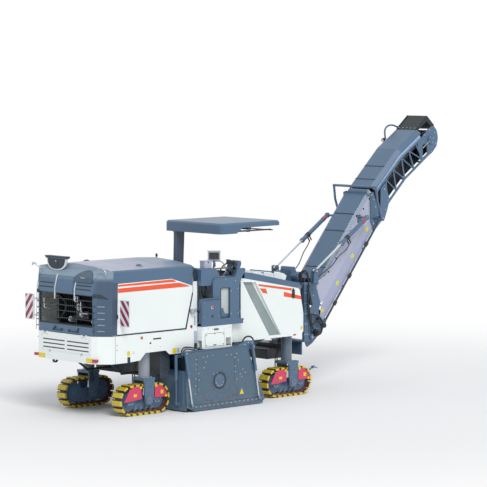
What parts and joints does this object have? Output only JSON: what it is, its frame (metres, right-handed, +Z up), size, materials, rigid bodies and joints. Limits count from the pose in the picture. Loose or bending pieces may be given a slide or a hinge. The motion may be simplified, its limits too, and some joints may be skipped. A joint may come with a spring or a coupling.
{
  "type": "cold planer",
  "caption": "Cold planer on steered crawler legs with a milling drum between the axles, a lifting hood, a canopy over the stand and a folding, slewing discharge conveyor in front.",
  "frame": {"origin": "on the ground, under the middle of the machine's length and width", "axes": "+X forward along the machine, towards the discharge conveyor; +Y to the machine's left; +Z up"},
  "size_m": [10.4965, 2.77, 5.77],
  "materials": {
    "slate_paint": "satin slate-blue machine paint",
    "slate_moulding": "moulded hood skin in slate blue",
    "white_paint": "satin white machine paint",
    "lavender_paint": "pale lavender-white cover paint",
    "pale_blue_paint": "pale blue cover paint",
    "dark_paint": "dark slate chassis paint",
    "shoe_yellow": "worn yellow track pads on dark chain",
    "crimson_and_slate": "slate frame with crimson end covers",
    "grille_black": "black grille plastic",
    "black_rubber": "black rubber",
    "engine_grey": "grey engine paint",
    "drum_steel": "worn steel",
    "seat_black": "black seat cover",
    "chevron_sheet": "red and white warning sheet",
    "cylinder_slate": "painted cylinder barrel",
    "chrome_rod": "chromed rod"
  },
  "bodies": {
    "machine": {"main_frame": "dark_paint", "frame_cross_members": "dark_paint", "column_crossheads": "dark_paint", "frame_boxes": "dark_paint", "lower_body_panels": "white_paint", "rear_vent_and_lamps": "grille_black", "engine_block": "engine_grey", "platform_floor": "dark_paint", "platform_side_walls": "slate_paint", "operator_consoles": "slate_paint", "operator_seat": "seat_black", "canopy_post": "slate_paint", "canopy_roof": "slate_moulding", "service_cabinets": "white_paint", "front_side_panels": "white_paint", "front_deck": "slate_paint", "drum_housing": "slate_paint", "loading_conveyor": "slate_paint", "loading_belt": "black_rubber", "slew_lower_arm": "dark_paint", "slew_upper_arm": "dark_paint"},
    "hood": {"hood_rear_shell": "slate_moulding", "hood_grille": "grille_black", "hood_side_panels": "white_paint", "hood_top_panel": "slate_moulding", "warning_plates": "chevron_sheet"},
    "drum": {"milling_drum": "drum_steel"},
    "right_side_plate": {"side_plate_right": "slate_paint"},
    "left_side_plate": {"side_plate_left": "slate_paint"},
    "scraper": {"scraper_blade": "dark_paint"},
    "slew": {"slew_yoke": "slate_paint", "cylinder_lugs": "slate_paint"},
    "conveyor": {"conveyor_lower_frame": "slate_paint", "conveyor_hoop": "slate_paint", "conveyor_side_covers": "lavender_paint", "conveyor_top_cover": "slate_paint", "conveyor_lower_belt": "black_rubber"},
    "conveyor_head": {"conveyor_upper_truss": "slate_paint", "conveyor_upper_cover": "slate_paint", "conveyor_upper_sides": "pale_blue_paint", "conveyor_upper_belt": "black_rubber", "head_hood": "black_rubber"},
    "lift_cylinder_barrels": {"lift_barrels": "cylinder_slate"},
    "lift_cylinder_rods": {"lift_rods": "chrome_rod"},
    "steering": {"steering_wheel": "seat_black"},
    "leg_rear_right": {"leg_rear_right": "slate_paint", "track_frame_rear_right": "crimson_and_slate", "track_shoes_rear_right": "shoe_yellow"},
    "leg_rear_left": {"leg_rear_left": "slate_paint", "track_frame_rear_left": "crimson_and_slate", "track_shoes_rear_left": "shoe_yellow"},
    "leg_front_right": {"leg_front_right": "slate_paint", "track_frame_front_right": "crimson_and_slate", "track_shoes_front_right": "shoe_yellow"},
    "leg_front_left": {"leg_front_left": "slate_paint", "track_frame_front_left": "crimson_and_slate", "track_shoes_front_left": "shoe_yellow"}
  },
  "joints": [
    {"name": "hood_lift", "type": "hinge", "parent": "machine", "child": "hood", "pos_m": [-5.233, 0, 1.65], "axis": [0, -1, 0], "range_deg": [0, 45]},
    {"name": "drum_spin", "type": "hinge", "parent": "machine", "child": "drum", "pos_m": [-2.295, -0.785, 0.575], "axis": [0, 1, 0], "continuous": true},
    {"name": "right_side_plate_lift", "type": "slide", "parent": "machine", "child": "right_side_plate", "axis": [-0.1668, 0, 0.986], "range_m": [0, 0.25]},
    {"name": "left_side_plate_lift", "type": "slide", "parent": "machine", "child": "left_side_plate", "axis": [-0.1668, 0, 0.986], "range_m": [0, 0.25]},
    {"name": "scraper_lift", "type": "slide", "parent": "machine", "child": "scraper", "axis": [0, 0, 1], "range_m": [0, 0.25]},
    {"name": "conveyor_slew", "type": "hinge", "parent": "machine", "child": "slew", "pos_m": [0.8, 0, 1.6], "axis": [0, 0, 1], "range_deg": [-35, 35]},
    {"name": "conveyor_lift", "type": "hinge", "parent": "slew", "child": "conveyor", "pos_m": [1.19, 0, 1.12], "axis": [0, -1, 0], "range_deg": [-25, 5]},
    {"name": "conveyor_fold", "type": "hinge", "parent": "conveyor", "child": "conveyor_head", "pos_m": [3.42, 0, 3.56], "axis": [0, 1, 0], "range_deg": [0, 90]},
    {"name": "lift_cylinder_swing", "type": "hinge", "parent": "conveyor", "child": "lift_cylinder_barrels", "pos_m": [2.772, 0, 3.611], "axis": [0, -1, 0], "range_deg": [-8, 3]},
    {"name": "lift_cylinder_stroke", "type": "slide", "parent": "lift_cylinder_barrels", "child": "lift_cylinder_rods", "axis": [-0.8313, 0, -0.5558], "range_m": [-0.14, 0.64]},
    {"name": "steering_wheel_turn", "type": "hinge", "parent": "machine", "child": "steering", "pos_m": [-1.549, -0.77, 2.756], "axis": [-0.7659, 0, 0.6429], "range_deg": [-450, 450]},
    {"name": "rear_right_steer", "type": "hinge", "parent": "machine", "child": "leg_rear_right", "pos_m": [-3.89, -0.85, 1], "axis": [0, 0, 1], "range_deg": [-25, 25]},
    {"name": "rear_left_steer", "type": "hinge", "parent": "machine", "child": "leg_rear_left", "pos_m": [-3.89, 0.85, 1], "axis": [0, 0, 1], "range_deg": [-25, 25]},
    {"name": "front_right_steer", "type": "hinge", "parent": "machine", "child": "leg_front_right", "pos_m": [0.086, -0.85, 1], "axis": [0, 0, 1], "range_deg": [-25, 25]},
    {"name": "front_left_steer", "type": "hinge", "parent": "machine", "child": "leg_front_left", "pos_m": [0.086, 0.85, 1], "axis": [0, 0, 1], "range_deg": [-25, 25]}
  ],
  "couplings": [
    {"joint": "lift_cylinder_swing", "follows": "conveyor_lift", "ratio": 0.25},
    {"joint": "lift_cylinder_stroke", "follows": "conveyor_lift", "m_per_rad": -1.407},
    {"joint": "rear_left_steer", "follows": "rear_right_steer", "ratio": 1},
    {"joint": "front_left_steer", "follows": "front_right_steer", "ratio": 1}
  ]
}
